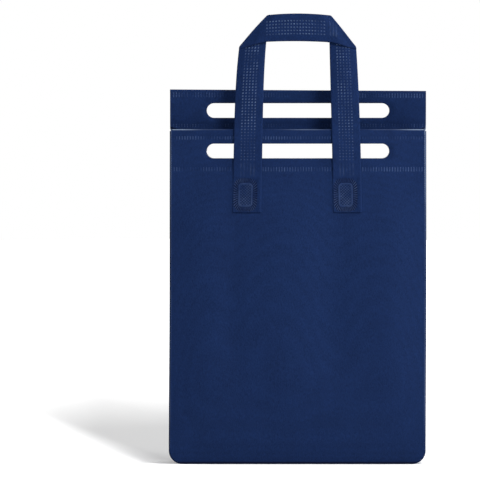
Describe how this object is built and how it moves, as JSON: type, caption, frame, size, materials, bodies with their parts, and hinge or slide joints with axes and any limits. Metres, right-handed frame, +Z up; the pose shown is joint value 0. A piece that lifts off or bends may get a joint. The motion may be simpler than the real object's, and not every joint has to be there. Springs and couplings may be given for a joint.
{
  "type": "insulated bag",
  "caption": "Upright insulated carrier bag of welded navy cloth with pleated sides, a tall back flap, hand slots and folded strap handles.",
  "frame": {"origin": "centre of the base, on the surface that the bag stands on", "axes": "+Z up, -Y towards the front panel, +X to the right as seen from the front"},
  "size_m": [0.3, 0.084, 0.526],
  "materials": {
    "bag_cloth": "matt navy non-woven cloth, point bonded, with welded stitch marks",
    "strap_cloth": "matt navy non-woven strap, embossed with lighter weld dots",
    "foam": "white closed cell foam sheet",
    "foil": "silvered film lining, softly creased"
  },
  "bodies": {
    "root": {"front_panel": "bag_cloth", "back_panel": "bag_cloth", "side_and_base_gusset": "bag_cloth", "front_foam": "foam", "back_foam": "foam", "gusset_foam": "foam", "front_foil_lining": "foil", "back_foil_lining": "foil", "gusset_foil_lining": "foil", "front_handle": "strap_cloth", "back_handle": "strap_cloth"}
  },
  "joints": []
}
